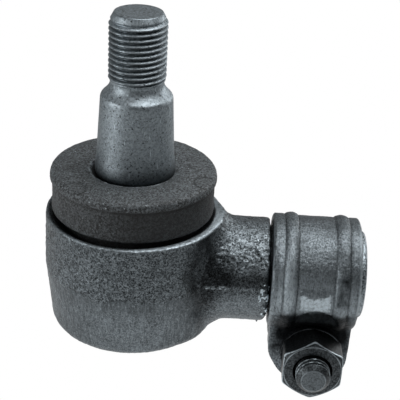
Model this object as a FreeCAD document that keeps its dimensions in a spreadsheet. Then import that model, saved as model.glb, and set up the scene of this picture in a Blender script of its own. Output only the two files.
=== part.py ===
import FreeCAD, Part
import math
import os
import re
import Sketcher
from FreeCAD import Placement, Rotation, Vector

# A tie rod end: a forged housing holds a spring-loaded ball stud under a rubber dust boot, and
# its slit, threaded neck is squeezed onto the tie rod tube by a bolted clamp collar.
#
# Frame: millimetres, origin at the centre of the ball, +Z along the stud, +X along the threaded
# neck. Levels are heights along Z, stations are distances along X.

SIZES = {
    # ball stud, M16 x 1.5 with a 1:10 taper
    "ball_radius": 13.5,
    "neck_radius": 8.5,
    "neck_top_level": 23.5,
    "lip_seat_radius": 9.3,
    "lip_seat_level": 25.0,
    "bulge_start_level": 29.0,
    "bulge_radius": 11.4,
    "bulge_level": 32.2,
    "taper_start_level": 35.0,
    "taper_end_radius": 10.06,
    "taper_end_level": 52.0,
    "taper_ratio": 10.0,
    "shoulder_rounding": 1.2,
    "relief_radius": 7.4,
    "thread_relief": 1.2,
    "thread_start_level": 57.2,
    "thread_radius": 8.0,
    "stud_top_level": 76.1,
    "stud_top_radius": 6.6,
    "stud_top_chamfer": 2.7,
    # housing bowl
    "bowl_radius": 25.6,
    "parting_level": 1.4,
    "rim_radius": 25.35,
    "rim_level": 17.5,
    "mouth_radius": 24.0,
    "mouth_depth": 2.9,
    "mouth_offset": 0.8,
    "bowl_foot_radius": 23.9,
    "bowl_foot_level": -14.4,
    "bottom_level": -18.0,
    "bottom_rounding": 3.6,
    "blank_reach": 26.0,
    "overcut": 1.0,
    "recess_radius": 20.3,
    "recess_level": 12.5,
    "throat_radius": 15.3,
    "shoulder_level": 6.1,
    "shoulder_radius": 12.6,
    "cup_bore_radius": 17.5,
    "plate_bore_radius": 18.9,
    "plate_bore_level": -14.3,
    "curl_radius": 17.3,
    # neck and threaded tube
    "forged_neck_radius": 15.15,
    "neck_root_station": 12.0,
    "neck_fillet": 5.5,
    "neck_end_station": 39.5,
    "neck_chamfer": 0.5,
    "tube_radius": 12.7,
    "tube_end_station": 67.4,
    "tube_chamfer": 0.6,
    "bore_radius": 9.188,
    "bore_mouth_radius": 10.2,
    "bore_end_station": 27.0,
    "slit_width": 2.5,
    "slit_start_station": 43.0,
    # bearing parts inside the bowl
    "ball_clearance": 0.05,
    "bore_clearance": 0.05,
    "cup_split": 0.4,
    "cup_lead_in": 0.8,
    "cup_lip": 0.3,
    "lower_cup_foot_level": -15.0,
    "spring_inner_radius": 5.5,
    "spring_outer_radius": 10.4,
    "spring_thickness": 1.1,
    "spring_rise": 1.3,
    "plate_top_level": -15.7,
    "plate_thickness": 1.5,
    "plate_radius": 18.8,
    "dish_radius": 12.4,
    "dish_slope": 1.8,
    "dish_depth": 1.7,
    "seal_radius": 18.2,
    "seal_wire_radius": 0.6,
    # dust boot and its two rings
    "boot_edge_radius": 23.6,
    "boot_crease_level": 28.0,
    "boot_top_level": 30.7,
    "boot_edge_rounding": 1.7,
    "boot_undercut_radius": 22.3,
    "boot_undercut_level": 26.8,
    "boot_skirt_radius": 23.2,
    "boot_skirt_level": 18.6,
    "boot_collar_radius": 20.2,
    "boot_step_level": 17.9,
    "boot_base_inner_radius": 17.6,
    "boot_wall_radius": 19.9,
    "boot_wall_foot_level": 20.0,
    "boot_wall_top_level": 25.6,
    "boot_ceiling_level": 27.2,
    "boot_ceiling_radius": 17.6,
    "boot_lip_radius": 9.4,
    "boot_lip_top_level": 28.7,
    "boot_mouth_radius": 11.9,
    "lip_ring_inner_radius": 10.6,
    "lip_ring_outer_radius": 12.4,
    "lip_ring_foot_level": 25.7,
    "base_ring_radius": 16.75,
    "base_ring_wire_radius": 0.8,
    "base_ring_level": 14.4,
    # clamp collar
    "collar_start_station": 40.4,
    "first_band_end": 43.8,
    "first_bead_end": 47.8,
    "second_bead_start": 58.2,
    "second_bead_end": 62.5,
    "collar_end_station": 65.6,
    "first_band_radius": 16.6,
    "first_bead_radius": 17.1,
    "middle_radius": 16.35,
    "second_bead_radius": 16.95,
    "last_band_radius": 16.4,
    "collar_rounding": 0.7,
    "collar_clearance": 0.05,
    "ear_station": 53.9,
    "ear_radius": 12.5,
    "ear_heel_radius": 11.0,
    "ear_root_station": 65.5,
    "ear_gap": 3.5,
    "ear_root_level": -4.0,
    "seat_reach": 8.7,
    "seat_radius": 11.0,
    "scoop_half_width": 6.5,
    "scoop_top_level": -4.0,
    "scoop_floor_reach": 13.4,
    "bolt_hole_radius": 5.5,
    # clamp bolt, nut and spring washer, M10
    "bolt_station": 54.0,
    "bolt_level": -22.1,
    "bolt_radius": 4.95,
    "bolt_head_flats": 17.0,
    "bolt_head_thickness": 6.4,
    "bolt_end_reach": 24.1,
    "bolt_end_radius": 3.5,
    "nut_flats": 17.0,
    "nut_thickness": 8.4,
    "nut_bore_radius": 5.0,
    "crown_radius": 8.3,
    "crown_slope": 30.0,
    "washer_radius": 9.05,
    "washer_bore_radius": 5.1,
    "washer_thickness": 2.2,
    "washer_split": 1.4,
}

doc = FreeCAD.newDocument("tie_rod_end")
sheet = doc.addObject("Spreadsheet::Sheet", "Sizes")
for row, (alias, size) in enumerate(SIZES.items(), 1):
    sheet.set(f"A{row}", alias)
    sheet.set(f"B{row}", str(size))
    sheet.setAlias(f"B{row}", alias)
doc.recompute()


def bound(formula):
    """The formula with each size spelt as a cell of the sheet."""
    return re.sub(r"[a-z_]{3,}", lambda word: f"Sizes.{word[0]}" if word[0] in SIZES else word[0], formula)


def value(formula):
    return float(sheet.evalExpression(bound(formula)))


def bind(thing, path, formula):
    thing.setExpression(path, bound(formula))


def origin_feature(body, role):
    return next(item for item in body.Origin.OriginFeatures if item.Role == role)


def new_body(name):
    body = doc.addObject("PartDesign::Body", name)
    body.Label = name
    return body


def new_sketch(body, name, plane):
    sketch = body.newObject("Sketcher::SketchObject", name)
    sketch.AttachmentSupport = [(origin_feature(body, plane), "")]
    sketch.MapMode = "FlatFace"
    return sketch


def pin_point(sketch, geometry, point, across, along):
    """Ties one point of the sketch to two formulas, measured from the sketch's origin."""
    for kind, formula in (("DistanceX", across), ("DistanceY", along)):
        rule = Sketcher.Constraint(kind, -1, 1, geometry, point, value(formula))
        number = sketch.addConstraint(rule)
        if re.search("[a-z]", formula):
            bind(sketch, f"Constraints[{number}]", formula)


def arc_centre(start, end, radius, side):
    """The centre of an arc from start to end. side is 1 when it is on the left of that way, else -1."""
    chord = end - start
    height = math.sqrt(radius**2 - (chord.Length / 2) ** 2)
    left = Vector(-chord.y, chord.x, 0).normalize()
    return (start + end) * 0.5 + left * height * side


def outline(body, name, plane, corners):
    """A closed outline. A corner is (across, along), or (across, along, radius, side) where an
    arc leads on to the next corner."""
    sketch = new_sketch(body, name, plane)
    places = [Vector(value(corner[0]), value(corner[1]), 0) for corner in corners]
    count = len(corners)
    backwards = set()
    for index, corner in enumerate(corners):
        start, end = places[index], places[(index + 1) % count]
        if len(corner) == 2:
            sketch.addGeometry(Part.LineSegment(start, end))
            continue
        radius, side = value(corner[2]), corner[3]
        centre = arc_centre(start, end, radius, side)
        angles = [math.atan2(place.y - centre.y, place.x - centre.x) for place in (start, end)]
        if side < 0:
            angles.reverse()
            backwards.add(index)
        ring = Part.Circle(centre, Vector(0, 0, 1), radius)
        sketch.addGeometry(Part.ArcOfCircle(ring, angles[0], angles[1]))
    for index, corner in enumerate(corners):
        after = (index + 1) % count
        end_point = 1 if index in backwards else 2
        start_point = 2 if after in backwards else 1
        sketch.addConstraint(Sketcher.Constraint("Coincident", index, end_point, after, start_point))
    for index, corner in enumerate(corners):
        pin_point(sketch, index, 2 if index in backwards else 1, corner[0], corner[1])
        if len(corner) == 4:
            number = sketch.addConstraint(Sketcher.Constraint("Radius", index, value(corner[2])))
            bind(sketch, f"Constraints[{number}]", corner[2])
    return sketch


def circle_at(body, name, plane, across, along, radius):
    sketch = new_sketch(body, name, plane)
    centre = Vector(value(across), value(along), 0)
    sketch.addGeometry(Part.Circle(centre, Vector(0, 0, 1), value(radius)))
    pin_point(sketch, 0, 3, across, along)
    number = sketch.addConstraint(Sketcher.Constraint("Radius", 0, value(radius)))
    bind(sketch, f"Constraints[{number}]", radius)
    return sketch


def shift(sketch, way, distance):
    """Moves the sketch off its plane's origin along one of its own axes."""
    sketch.AttachmentOffset = Placement(Vector(0, 0, 0), Rotation())
    bind(sketch, f"AttachmentOffset.Base.{way}", distance)


def turned(body, kind, sketch, axis=None):
    """A full turn of the sketch, added or cut away, about one of the body's axes or its own upright one."""
    feature = body.newObject(f"PartDesign::{kind}", f"{sketch.Name}_{kind.lower()}")
    feature.Profile = sketch
    feature.ReferenceAxis = (origin_feature(body, axis), [""]) if axis else (sketch, ["V_Axis"])
    feature.Angle = 360.0
    return settle(body, feature, kind == "Groove")


def extruded(body, kind, sketch, length, midplane=False, reverse=False):
    """The sketch pulled along its normal, added or cut away."""
    feature = body.newObject(f"PartDesign::{kind}", f"{sketch.Name}_{kind.lower()}")
    feature.Profile = sketch
    feature.Length = value(length)
    if re.search("[a-z]", length):
        bind(feature, "Length", length)
    feature.Midplane = midplane
    feature.Reversed = reverse
    return settle(body, feature, kind == "Pocket")


def settle(body, feature, cuts):
    """Recomputes, and checks that an added feature adds and a cutting one cuts."""
    before = feature.BaseFeature.Shape.Volume if feature.BaseFeature else 0.0
    doc.recompute()
    change = body.Shape.Volume - before
    if (change > -1e-6) if cuts else (change < 1e-6):
        raise RuntimeError(f"{feature.Name} in {body.Label} changes nothing")
    return feature


def lathe_body(name, corners):
    """A piece turned about Z from one outline of (radius, level) corners."""
    body = new_body(name)
    turned(body, "Revolution", outline(body, f"{name}_outline", "XZ_Plane", corners), "Z_Axis")
    return body


def ring_of_wire(name, ring_radius, wire_radius, level):
    ring = doc.addObject("Part::Torus", name)
    ring.Label = name
    bind(ring, "Radius1", ring_radius)
    bind(ring, "Radius2", wire_radius)
    ring.Placement = Placement(Vector(0, 0, value(level)), Rotation())
    bind(ring, "Placement.Base.z", level)
    return ring


def make_closing_plate_seal():
    level = "plate_top_level + seal_wire_radius"
    return ring_of_wire("closing_plate_seal", "seal_radius", "seal_wire_radius", level)


def make_boot_base_ring():
    return ring_of_wire("boot_base_ring", "base_ring_radius", "base_ring_wire_radius", "base_ring_level")


def neck_root_edges(shape):
    """The names of the edges where the neck's cylinder leaves the bowl."""
    names = []
    for number, edge in enumerate(shape.Edges, 1):
        point = edge.valueAt((edge.FirstParameter + edge.LastParameter) / 2)
        on_neck = abs(math.hypot(point.y, point.z) - value("forged_neck_radius")) < 1e-3
        if on_neck and value("neck_root_station") < point.x < value("bowl_radius") + 1:
            names.append(f"Edge{number}")
    return names


def make_housing():
    body = new_body("housing")
    lower_draft = "(bowl_radius - bowl_foot_radius) / (parting_level - bowl_foot_level)"
    upper_draft = "(bowl_radius - rim_radius) / (rim_level - parting_level)"
    blank = [
        ("0", "-blank_reach"),
        (f"bowl_radius - (blank_reach + parting_level) * {lower_draft}", "-blank_reach"),
        ("bowl_radius", "parting_level"),
        (f"bowl_radius - (blank_reach - parting_level) * {upper_draft}", "blank_reach"),
        ("0", "blank_reach"),
    ]
    turned(body, "Revolution", outline(body, "blank", "XZ_Plane", blank), "Z_Axis")
    neck = [
        ("neck_root_station", "0"),
        ("tube_end_station", "0"),
        ("tube_end_station", "tube_radius - tube_chamfer"),
        ("tube_end_station - tube_chamfer", "tube_radius"),
        ("neck_end_station", "tube_radius"),
        ("neck_end_station", "forged_neck_radius - neck_chamfer"),
        ("neck_end_station - neck_chamfer", "forged_neck_radius"),
        ("neck_root_station", "forged_neck_radius"),
    ]
    neck_feature = turned(body, "Revolution", outline(body, "neck", "XZ_Plane", neck), "X_Axis")
    fillet = body.newObject("PartDesign::Fillet", "neck_blend")
    fillet.Base = (neck_feature, neck_root_edges(neck_feature.Shape))
    fillet.Radius = value("neck_fillet")
    bind(fillet, "Radius", "neck_fillet")
    settle(body, fillet, False)
    above = [
        ("0", "rim_level"),
        ("2 * bowl_radius", "rim_level"),
        ("2 * bowl_radius", "2 * blank_reach"),
        ("0", "2 * blank_reach"),
    ]
    turned(body, "Groove", outline(body, "above_rim", "XZ_Plane", above), "Z_Axis")
    below = [
        ("0", "bottom_level"),
        ("0", "-2 * blank_reach"),
        ("2 * bowl_radius", "-2 * blank_reach"),
        ("2 * bowl_radius", "bottom_level + bottom_rounding"),
        ("bowl_foot_radius", "bottom_level + bottom_rounding", "bottom_rounding", -1),
        ("bowl_foot_radius - bottom_rounding", "bottom_level"),
    ]
    turned(body, "Groove", outline(body, "below_foot", "XZ_Plane", below), "Z_Axis")
    cavity = [
        ("0", "bottom_level - overcut"),
        ("curl_radius", "bottom_level - overcut"),
        ("curl_radius", "plate_top_level - plate_thickness"),
        ("plate_bore_radius", "plate_top_level - plate_thickness"),
        ("plate_bore_radius", "plate_bore_level"),
        ("cup_bore_radius", "plate_bore_level"),
        ("cup_bore_radius", "shoulder_level"),
        ("shoulder_radius", "shoulder_level"),
        ("throat_radius", "recess_level"),
        ("recess_radius", "recess_level"),
        ("recess_radius", "rim_level + overcut"),
        ("0", "rim_level + overcut"),
    ]
    turned(body, "Groove", outline(body, "cavity", "XZ_Plane", cavity), "Z_Axis")
    cut_mouth(body)
    bore = [
        ("bore_end_station", "0"),
        ("tube_end_station + overcut", "0"),
        ("tube_end_station + overcut", "bore_mouth_radius"),
        ("tube_end_station", "bore_mouth_radius"),
        ("tube_end_station - bore_mouth_radius + bore_radius", "bore_radius"),
        ("bore_end_station + bore_radius / 2", "bore_radius"),
    ]
    turned(body, "Groove", outline(body, "bore", "XZ_Plane", bore), "X_Axis")
    slit = [
        ("slit_start_station", "-slit_width / 2"),
        ("tube_end_station + overcut", "-slit_width / 2"),
        ("tube_end_station + overcut", "slit_width / 2"),
        ("slit_start_station", "slit_width / 2"),
    ]
    extruded(body, "Pocket", outline(body, "slit", "XY_Plane", slit), "tube_radius + overcut")
    return body


def cut_mouth(body):
    """Bevels the recess's mouth. The bevel is cut off centre, away from the neck."""
    corners = [
        ("0", "rim_level - mouth_depth"),
        ("recess_radius", "rim_level - mouth_depth"),
        ("mouth_radius", "rim_level"),
        ("mouth_radius", "rim_level + overcut"),
        ("0", "rim_level + overcut"),
    ]
    mouth = outline(body, "mouth", "XZ_Plane", corners)
    shift(mouth, "x", "-mouth_offset")
    turned(body, "Groove", mouth)


def make_ball_stud():
    ball_top = "sqrt(ball_radius^2 - neck_radius^2)"
    taper_foot = "taper_end_radius + (taper_end_level - taper_start_level) / (2 * taper_ratio)"
    bulge_arc = "((bulge_radius - lip_seat_radius)^2 + (bulge_level - bulge_start_level)^2)" \
                " / (2 * (bulge_radius - lip_seat_radius))"
    return lathe_body("ball_stud", [
        ("0", "-ball_radius", "ball_radius", 1),
        ("neck_radius", ball_top),
        ("neck_radius", "neck_top_level"),
        ("lip_seat_radius", "lip_seat_level"),
        ("lip_seat_radius", "bulge_start_level", bulge_arc, 1),
        ("bulge_radius", "bulge_level"),
        (taper_foot, "taper_start_level"),
        ("taper_end_radius", "taper_end_level", "shoulder_rounding", 1),
        ("taper_end_radius - shoulder_rounding", "taper_end_level + shoulder_rounding"),
        ("relief_radius", "thread_start_level - thread_relief"),
        ("relief_radius", "thread_start_level"),
        ("thread_radius", "thread_start_level"),
        ("thread_radius", "stud_top_level - stud_top_chamfer"),
        ("stud_top_radius", "stud_top_level"),
        ("0", "stud_top_level"),
    ])


def make_upper_ball_cup():
    cup = "ball_radius + ball_clearance"
    lip = "shoulder_level - cup_lip"
    return lathe_body("upper_ball_cup", [
        (f"sqrt(({cup})^2 - (cup_split / 2)^2)", "cup_split / 2"),
        ("cup_bore_radius - bore_clearance", "cup_split / 2"),
        ("cup_bore_radius - bore_clearance", "shoulder_level"),
        (f"sqrt(({cup})^2 - ({lip})^2) + cup_lip", "shoulder_level"),
        (f"sqrt(({cup})^2 - ({lip})^2)", lip, cup, -1),
    ])


def make_lower_ball_cup():
    cup = "ball_radius + ball_clearance"
    return lathe_body("lower_ball_cup", [
        ("0", f"-({cup})", cup, 1),
        (f"sqrt(({cup})^2 - (cup_split / 2)^2)", "-cup_split / 2"),
        ("cup_bore_radius - bore_clearance", "-cup_split / 2"),
        ("cup_bore_radius - bore_clearance", "lower_cup_foot_level + cup_lead_in"),
        ("cup_bore_radius - bore_clearance - cup_lead_in", "lower_cup_foot_level"),
        ("0", "lower_cup_foot_level"),
    ])


def make_preload_spring():
    """A conical disc spring: its inner edge bears on the cup and its outer edge on the plate."""
    return lathe_body("preload_spring", [
        ("spring_inner_radius", "lower_cup_foot_level - spring_thickness"),
        ("spring_outer_radius", "lower_cup_foot_level - spring_thickness - spring_rise"),
        ("spring_outer_radius", "lower_cup_foot_level - spring_rise"),
        ("spring_inner_radius", "lower_cup_foot_level"),
    ])


def make_closing_plate():
    """A dished disc, held in the housing by the metal curled over its edge."""
    floor = "plate_top_level - plate_thickness"
    return lathe_body("closing_plate", [
        ("0", f"{floor} - dish_depth"),
        ("dish_radius - dish_slope", f"{floor} - dish_depth"),
        ("dish_radius", floor),
        ("plate_radius", floor),
        ("plate_radius", "plate_top_level"),
        ("dish_radius", "plate_top_level"),
        ("dish_radius - dish_slope", "plate_top_level - dish_depth"),
        ("0", "plate_top_level - dish_depth"),
    ])


def make_dust_boot():
    return lathe_body("dust_boot", [
        ("boot_base_inner_radius", "recess_level"),
        ("boot_collar_radius", "recess_level"),
        ("boot_collar_radius", "boot_step_level"),
        ("boot_skirt_radius", "boot_skirt_level"),
        ("boot_undercut_radius", "boot_undercut_level"),
        ("boot_edge_radius", "boot_crease_level"),
        ("boot_edge_radius", "boot_top_level - boot_edge_rounding", "boot_edge_rounding", 1),
        ("boot_edge_radius - boot_edge_rounding", "boot_top_level"),
        ("boot_mouth_radius", "boot_top_level"),
        ("boot_lip_radius", "boot_lip_top_level"),
        ("boot_lip_radius", "boot_ceiling_level"),
        ("boot_ceiling_radius", "boot_ceiling_level"),
        ("boot_wall_radius", "boot_wall_top_level"),
        ("boot_wall_radius", "boot_wall_foot_level"),
        ("boot_base_inner_radius", "boot_step_level"),
    ])


def make_boot_lip_ring():
    """The flat steel ring that grips the boot's lip round the neck of the stud."""
    return lathe_body("boot_lip_ring", [
        ("lip_ring_inner_radius", "lip_ring_foot_level"),
        ("lip_ring_outer_radius", "lip_ring_foot_level"),
        ("lip_ring_outer_radius", "boot_ceiling_level"),
        ("lip_ring_inner_radius", "boot_ceiling_level"),
    ])


def make_clamp_collar():
    body = new_body("clamp_collar")
    ring = [
        ("collar_start_station", "0"),
        ("collar_end_station", "0"),
        ("collar_end_station", "last_band_radius - collar_rounding"),
        ("collar_end_station - collar_rounding", "last_band_radius"),
        ("second_bead_end", "last_band_radius", "second_bead_end - second_bead_start", 1),
        ("(second_bead_start + second_bead_end) / 2", "second_bead_radius",
         "second_bead_end - second_bead_start", 1),
        ("second_bead_start", "middle_radius"),
        ("first_bead_end", "middle_radius", "first_bead_end - first_band_end", 1),
        ("(first_band_end + first_bead_end) / 2", "first_bead_radius",
         "first_bead_end - first_band_end", 1),
        ("first_band_end", "first_band_radius"),
        ("collar_start_station + collar_rounding", "first_band_radius"),
        ("collar_start_station", "first_band_radius - collar_rounding"),
    ]
    turned(body, "Revolution", outline(body, "beads", "XZ_Plane", ring), "X_Axis")
    ear = [
        ("ear_station - ear_radius", "ear_root_level"),
        ("ear_station - ear_radius", "bolt_level", "ear_radius", 1),
        ("ear_station", "bolt_level - ear_radius", "ear_heel_radius", 1),
        ("ear_station + ear_heel_radius", "bolt_level - ear_radius + ear_heel_radius"),
        ("ear_root_station", "ear_root_level"),
    ]
    extruded(body, "Pad", outline(body, "ears", "XZ_Plane", ear), "2 * seat_reach", midplane=True)
    hole = circle_at(body, "tube_hole", "YZ_Plane", "0", "0", "tube_radius + collar_clearance")
    extruded(body, "Pocket", hole, "4 * tube_end_station", midplane=True)
    gap = [
        ("collar_start_station - overcut", "-ear_gap / 2"),
        ("collar_end_station + overcut", "-ear_gap / 2"),
        ("collar_end_station + overcut", "ear_gap / 2"),
        ("collar_start_station - overcut", "ear_gap / 2"),
    ]
    extruded(body, "Pocket", outline(body, "gap", "XY_Plane", gap), "ear_radius - bolt_level + overcut")
    bolt_hole = circle_at(body, "bolt_hole", "XZ_Plane", "bolt_station", "bolt_level", "bolt_hole_radius")
    extruded(body, "Pocket", bolt_hole, "4 * seat_reach", midplane=True)
    for side in (-1, 1):
        spot_face(body, side)
    scoop_out(body)
    return body


def spot_face(body, side):
    """Turns a flat round seat for the nut or the bolt head into one ear."""
    name = "nut_seat" if side < 0 else "head_seat"
    seat = circle_at(body, name, "XZ_Plane", "bolt_station", "bolt_level", "seat_radius")
    shift(seat, "z", f"{-side} * seat_reach")
    extruded(body, "Pocket", seat, "last_band_radius", reverse=side < 0)


def scoop_out(body):
    """The shallow round-topped hollow above the nut."""
    corner_level = "scoop_top_level - scoop_half_width"
    corners = [
        ("bolt_station - scoop_half_width", "bolt_level"),
        ("bolt_station + scoop_half_width", "bolt_level"),
        ("bolt_station + scoop_half_width", corner_level, "scoop_half_width", 1),
        ("bolt_station", "scoop_top_level", "scoop_half_width", 1),
        ("bolt_station - scoop_half_width", corner_level),
    ]
    scoop = outline(body, "scoop", "XZ_Plane", corners)
    shift(scoop, "z", "scoop_floor_reach")
    extruded(body, "Pocket", scoop, "last_band_radius", reverse=True)


def on_clamp_bolt(body):
    """Places a piece made about its own Z axis on the clamp bolt's axis, its +Z end on the nut's side."""
    body.Placement = Placement(Vector(0, 0, 0), Rotation(Vector(1, 0, 0), 90))
    bind(body, "Placement.Base.x", "bolt_station")
    bind(body, "Placement.Base.z", "bolt_level")
    return body


def hexagon(body, name, flats):
    half, corner = f"{flats} / 2", f"{flats} / sqrt(3)"
    return outline(body, name, "XY_Plane", [
        ("0", corner),
        (f"-{half}", f"{corner} / 2"),
        (f"-{half}", f"-{corner} / 2"),
        ("0", f"-{corner}"),
        (half, f"-{corner} / 2"),
        (half, f"{corner} / 2"),
    ])


def crown(body, name, flats, face, way):
    """Bevels a hexagon's corners at one face. way is 1 where the face looks along +Z."""
    drop = f"({flats} - crown_radius) * tan(crown_slope)"
    corners = [
        ("crown_radius", face),
        (flats, f"{face} - {way} * {drop}"),
        (flats, f"{face} + {way} * overcut"),
        ("crown_radius", f"{face} + {way} * overcut"),
    ]
    turned(body, "Groove", outline(body, name, "XZ_Plane", corners), "Z_Axis")


def make_clamp_bolt():
    body = new_body("clamp_bolt")
    head = hexagon(body, "head", "bolt_head_flats")
    shift(head, "z", "-seat_reach - bolt_head_thickness")
    extruded(body, "Pad", head, "bolt_head_thickness")
    crown(body, "head_crown", "bolt_head_flats", "-seat_reach - bolt_head_thickness", -1)
    shank = [
        ("0", "-seat_reach - overcut"),
        ("bolt_radius", "-seat_reach - overcut"),
        ("bolt_radius", "bolt_end_reach - bolt_radius + bolt_end_radius"),
        ("bolt_end_radius", "bolt_end_reach"),
        ("0", "bolt_end_reach"),
    ]
    turned(body, "Revolution", outline(body, "shank", "XZ_Plane", shank), "Z_Axis")
    return on_clamp_bolt(body)


def make_clamp_nut():
    body = new_body("clamp_nut")
    foot = "seat_reach + washer_thickness"
    flats = hexagon(body, "flats", "nut_flats")
    shift(flats, "z", foot)
    extruded(body, "Pad", flats, "nut_thickness")
    crown(body, "outer_crown", "nut_flats", f"{foot} + nut_thickness", 1)
    crown(body, "inner_crown", "nut_flats", foot, -1)
    bore = circle_at(body, "nut_bore", "XY_Plane", "0", "0", "nut_bore_radius")
    extruded(body, "Pocket", bore, "4 * bolt_end_reach", midplane=True)
    return on_clamp_bolt(body)


def make_clamp_spring_washer():
    body = lathe_body("clamp_spring_washer", [
        ("washer_bore_radius", "seat_reach"),
        ("washer_radius", "seat_reach"),
        ("washer_radius", "seat_reach + washer_thickness"),
        ("washer_bore_radius", "seat_reach + washer_thickness"),
    ])
    split = [
        ("-washer_split / 2", "-washer_radius - overcut"),
        ("washer_split / 2", "-washer_radius - overcut"),
        ("washer_split / 2", "0"),
        ("-washer_split / 2", "0"),
    ]
    cut = outline(body, "split", "XY_Plane", split)
    extruded(body, "Pocket", cut, "4 * bolt_end_reach", midplane=True)
    return on_clamp_bolt(body)


def check_everything():
    for item in doc.Objects:
        bad = {"Invalid", "Error"} & set(item.State)
        if bad:
            raise RuntimeError(f"{item.Name} is {sorted(bad)}")


def write_out(piece):
    shape = piece.Shape
    if shape.isNull() or not shape.isValid() or len(shape.Solids) != 1:
        raise RuntimeError(f"{piece.Label} is not one valid solid")
    shape.exportStep(f"parts/{piece.Label}.step")
    box = shape.BoundBox
    print(f"{piece.Label}: {shape.Volume:.0f} mm3, Z {box.ZMin:.2f} to {box.ZMax:.2f}")


pieces = [
    make_housing(),
    make_ball_stud(),
    make_upper_ball_cup(),
    make_lower_ball_cup(),
    make_preload_spring(),
    make_closing_plate(),
    make_closing_plate_seal(),
    make_dust_boot(),
    make_boot_lip_ring(),
    make_boot_base_ring(),
    make_clamp_collar(),
    make_clamp_bolt(),
    make_clamp_nut(),
    make_clamp_spring_washer(),
]
doc.recompute()
check_everything()
os.makedirs("parts", exist_ok=True)
for piece in pieces:
    write_out(piece)
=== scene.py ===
import bpy
import math
import numpy as np
from mathutils import Matrix, Vector, noise


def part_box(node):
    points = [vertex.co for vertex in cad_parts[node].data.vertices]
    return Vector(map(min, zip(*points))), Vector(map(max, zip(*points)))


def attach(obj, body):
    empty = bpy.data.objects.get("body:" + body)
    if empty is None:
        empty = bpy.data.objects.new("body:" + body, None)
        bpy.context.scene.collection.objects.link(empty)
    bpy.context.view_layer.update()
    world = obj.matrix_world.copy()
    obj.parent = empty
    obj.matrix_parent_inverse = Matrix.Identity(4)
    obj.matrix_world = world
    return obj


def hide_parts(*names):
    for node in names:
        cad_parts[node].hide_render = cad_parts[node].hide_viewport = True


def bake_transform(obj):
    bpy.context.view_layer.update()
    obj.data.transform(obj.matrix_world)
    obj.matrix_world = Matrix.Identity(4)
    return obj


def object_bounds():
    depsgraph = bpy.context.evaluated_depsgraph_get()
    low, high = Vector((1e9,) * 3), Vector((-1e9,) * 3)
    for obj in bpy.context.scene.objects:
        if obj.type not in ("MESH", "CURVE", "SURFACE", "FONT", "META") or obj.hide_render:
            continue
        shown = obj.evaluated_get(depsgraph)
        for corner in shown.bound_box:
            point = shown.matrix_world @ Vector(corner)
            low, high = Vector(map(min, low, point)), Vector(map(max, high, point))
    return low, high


# A tie rod end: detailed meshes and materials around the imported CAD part.
# Shapes are worked out in millimetres, in the CAD's frame, and scaled to metres as each mesh is made.

MM = 0.001

# ---------------------------------------------------------------- light

# What floor and world give as light sources, then the lamps' watts and the point in metres that they face.
FLOOR_NEAR = 0.85
FLOOR_FAR = 0.22
FRONT_GLOW = 0.03
BACK_GLOW = 0.26
OVERHEAD_POWER = 2.6
LEFT_POWER = 1.85
RIGHT_BACK_POWER = 0.9
LIT_POINT = Vector((0.02, 0.0, 0.01))

# ---------------------------------------------------------------- camera

# Place in millimetres, then yaw, pitch and roll in degrees, as solved from the photo's circles.
CAMERA_PLACE = (21.86, -289.73, 168.54)
CAMERA_TURN = (-0.6, 26.94, 3.11)
CAMERA_LENS = 102.36

# ---------------------------------------------------------------- sizes, in millimetres and radians

# Housing: the bowl is about Z, the neck and the tube are about X.
BOWL_RADIUS = 25.6
RIM_RADIUS = 25.35
RIM_LEVEL = 17.5
NECK_END = 39.5
TUBE_END = 67.4
PARTING_LEVEL = 1.4
HOUSING_VOXEL = 0.42

# Clamp: places along X of the collar's grooves and beads and of the middle of its facet. Its outer surface
# is further from the tube's axis than COLLAR_SKIN.
GROOVES = (43.8, 47.8, 58.2, 62.5)
BEADS = ((45.4, 46.2), (60.0, 60.8))
CLAMP_MIDDLE = 53.1
COLLAR_SKIN = 13.8
COLLAR_VOXEL = 0.34
WASHER_RADIUS = 9.05
WASHER_BORE = 5.1
WASHER_HALF_GAP_ANGLE = 0.1
NUT_FLATS = 17.0
CROWN_RADIUS = 8.3
BOLT_RADIUS = 4.95
BOLT_CHAMFER = 1.6

# Stud: ball, and the stretch along Z that carries its thread.
BALL_RADIUS = 13.5
BALL_TOP_ANGLE = 0.889
THREAD_START = 57.4
THREAD_END = 73.4
STUD_END = 76.1
PITCH = 1.5
THREAD_DEPTH = 0.9

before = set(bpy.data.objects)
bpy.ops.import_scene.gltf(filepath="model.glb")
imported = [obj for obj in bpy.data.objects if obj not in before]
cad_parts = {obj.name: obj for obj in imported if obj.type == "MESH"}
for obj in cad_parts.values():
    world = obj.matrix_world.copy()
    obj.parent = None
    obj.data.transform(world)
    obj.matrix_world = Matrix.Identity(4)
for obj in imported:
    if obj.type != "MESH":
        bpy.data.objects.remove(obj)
cad_low, cad_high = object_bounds()
nut_low, nut_high = [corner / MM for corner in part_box("clamp_nut")]
bolt_low, bolt_high = [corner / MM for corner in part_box("clamp_bolt")]
washer_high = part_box("clamp_spring_washer")[1] / MM

# The clamp bolt's axis, and reaches along it from the middle of the clamp towards the nut.
BOLT_STATION = (nut_low.x + nut_high.x) / 2
BOLT_LEVEL = (nut_low.z + nut_high.z) / 2
NUT_FACE = -nut_low.y
NUT_FOOT = -nut_high.y
SEAT_REACH = -washer_high.y
BOLT_END = -bolt_low.y
HEAD_FACE = -bolt_high.y


# ---------------------------------------------------------------- mesh tools


def smooth_step(value, low, high):
    """0 below low and 1 above high, with a smooth rise between."""
    share = np.clip((np.asarray(value, float) - low) / (high - low), 0.0, 1.0)
    return share * share * (3 - 2 * share)


def band(value, low, high, blur):
    """1 between low and high, fading to 0 over blur on both sides."""
    return smooth_step(value, low - blur, low) * (1 - smooth_step(value, high, high + blur))


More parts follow.
